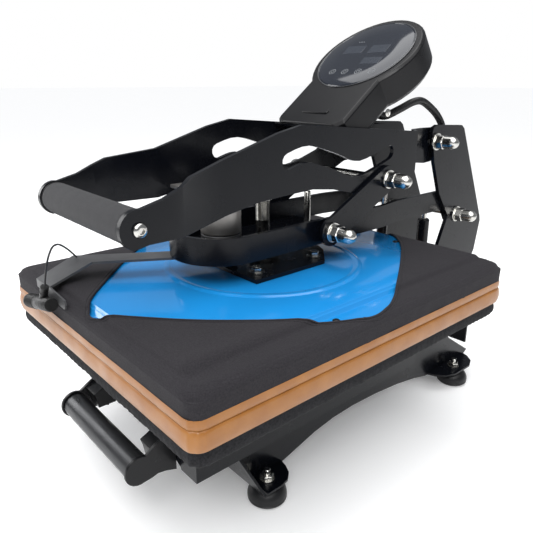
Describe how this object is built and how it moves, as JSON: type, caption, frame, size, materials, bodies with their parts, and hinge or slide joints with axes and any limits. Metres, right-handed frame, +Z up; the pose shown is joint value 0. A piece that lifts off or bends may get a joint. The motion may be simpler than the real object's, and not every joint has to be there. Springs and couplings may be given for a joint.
{
  "type": "heat press",
  "caption": "Clam-style heat press with a lifting lever handle, round tilted touch controller, blue heated head under fabric covers and a pull-out lower platen on rubber feet.",
  "frame": {"origin": "on the bench under the middle of the press", "axes": "+Z up, -Y towards the user at the handle, +X to the user's right"},
  "size_m": [0.41, 0.7185, 0.5466],
  "materials": {
    "black": "gloss powder coat",
    "blue": "gloss enamel",
    "steel": "bright nickel plated",
    "zinc": "satin zinc plated",
    "rubber": "satin",
    "foam": "matt closed cell foam",
    "cloth": "woven elastic cloth",
    "ptfe": "coated glass cloth, slight sheen",
    "silicone": "matt silicone sponge",
    "aluminium": "satin",
    "plastic": "satin black",
    "glass": "gloss touch panel",
    "grey": "matt grey"
  },
  "bodies": {
    "base": {"base_side_plate_l": "black", "base_side_plate_r": "black", "base_front_plate": "black", "base_rear_plate": "black", "upright_l": "black", "upright_r": "black", "foot_front_l": "rubber", "foot_front_r": "rubber", "foot_rear_l": "rubber", "foot_rear_r": "rubber", "slide_rail_fixed_l": "zinc", "slide_rail_fixed_r": "zinc", "upper_axle": "steel", "lower_axle": "steel", "power_inlet_box": "plastic"},
    "power_rocker": {"power_rocker": "rubber"},
    "spring_cylinders": {"spring_cylinder_l": "black", "spring_cylinder_r": "black"},
    "spring_rods": {"spring_rod_l": "steel", "spring_rod_r": "steel"},
    "drawer": {"drawer_tray": "black", "slide_rail_moving_l": "zinc", "slide_rail_moving_r": "zinc", "drawer_handle_tube": "aluminium", "drawer_handle_bracket_l": "plastic", "drawer_handle_bracket_r": "plastic", "lower_platen": "aluminium", "silicone_pad": "silicone", "lower_cover_ptfe": "ptfe", "lower_cover_skirt": "cloth"},
    "arm": {"lift_arm": "black", "electromagnet": "zinc"},
    "pressure_screw": {"pressure_screw": "steel"},
    "head": {"head_plate": "black", "screw_collar": "steel", "guide_rod": "steel", "head_bolt_1": "steel", "head_bolt_2": "steel", "head_bolt_3": "steel", "head_bolt_4": "steel", "blue_cover": "blue", "heating_platen": "aluminium", "upper_cover_ptfe": "ptfe", "upper_cover_fabric": "cloth", "laser_strap": "grey", "laser_wire": "rubber"},
    "laser": {"laser_module": "plastic"},
    "handle": {"handle_plate_l": "black", "handle_plate_r": "black", "handle_top_web": "black", "armature": "zinc", "grip_core": "steel", "foam_grip": "foam", "handle_pin": "steel", "controller_housing": "plastic", "controller_glass": "glass", "conduit": "rubber"},
    "links": {"link_l": "black", "link_r": "black"}
  },
  "joints": [
    {"name": "handle_lift", "type": "hinge", "parent": "base", "child": "handle", "pos_m": [0, 0.1955, 0.381], "axis": [-1, 0, 0], "range_deg": [0, 65]},
    {"name": "arm_lift", "type": "hinge", "parent": "base", "child": "arm", "pos_m": [0, 0.2735, 0.2605], "axis": [-1, 0, 0], "range_deg": [0, 26.5]},
    {"name": "link_swing", "type": "hinge", "parent": "handle", "child": "links", "pos_m": [0, 0.0655, 0.342], "axis": [1, 0, 0], "range_deg": [0, 70]},
    {"name": "spring_tilt", "type": "hinge", "parent": "base", "child": "spring_cylinders", "pos_m": [0, 0.2145, 0.105], "axis": [-1, 0, 0], "range_deg": [0, 5]},
    {"name": "spring_stroke", "type": "slide", "parent": "spring_cylinders", "child": "spring_rods", "axis": [0, 0, 1], "range_m": [0, 0.026]},
    {"name": "pressure_turn", "type": "hinge", "parent": "arm", "child": "pressure_screw", "pos_m": [0, -0.0905, 0.3], "axis": [0, 0, 1], "range_deg": [0, 720]},
    {"name": "head_height", "type": "slide", "parent": "arm", "child": "head", "axis": [0, 0, 1], "range_m": [0, 0.003]},
    {"name": "laser_aim", "type": "hinge", "parent": "head", "child": "laser", "pos_m": [-0.06544, -0.3507, 0.23374], "axis": [0.9739, 0, 0.2268], "range_deg": [-15, 15]},
    {"name": "drawer_slide", "type": "slide", "parent": "base", "child": "drawer", "axis": [0, -1, 0], "range_m": [0, 0.25]},
    {"name": "power_switch", "type": "hinge", "parent": "base", "child": "power_rocker", "pos_m": [0.02, 0.277, 0.112], "axis": [-1, 0, 0], "range_deg": [0, 16]}
  ],
  "couplings": [
    {"joint": "arm_lift", "follows": "handle_lift", "ratio": 0.39677},
    {"joint": "link_swing", "follows": "handle_lift", "ratio": 1.0545},
    {"joint": "spring_tilt", "follows": "handle_lift", "ratio": 0.07},
    {"joint": "spring_stroke", "follows": "handle_lift", "m_per_rad": 0.021155},
    {"joint": "pressure_turn", "follows": "head_height", "rad_per_m": 4188}
  ]
}
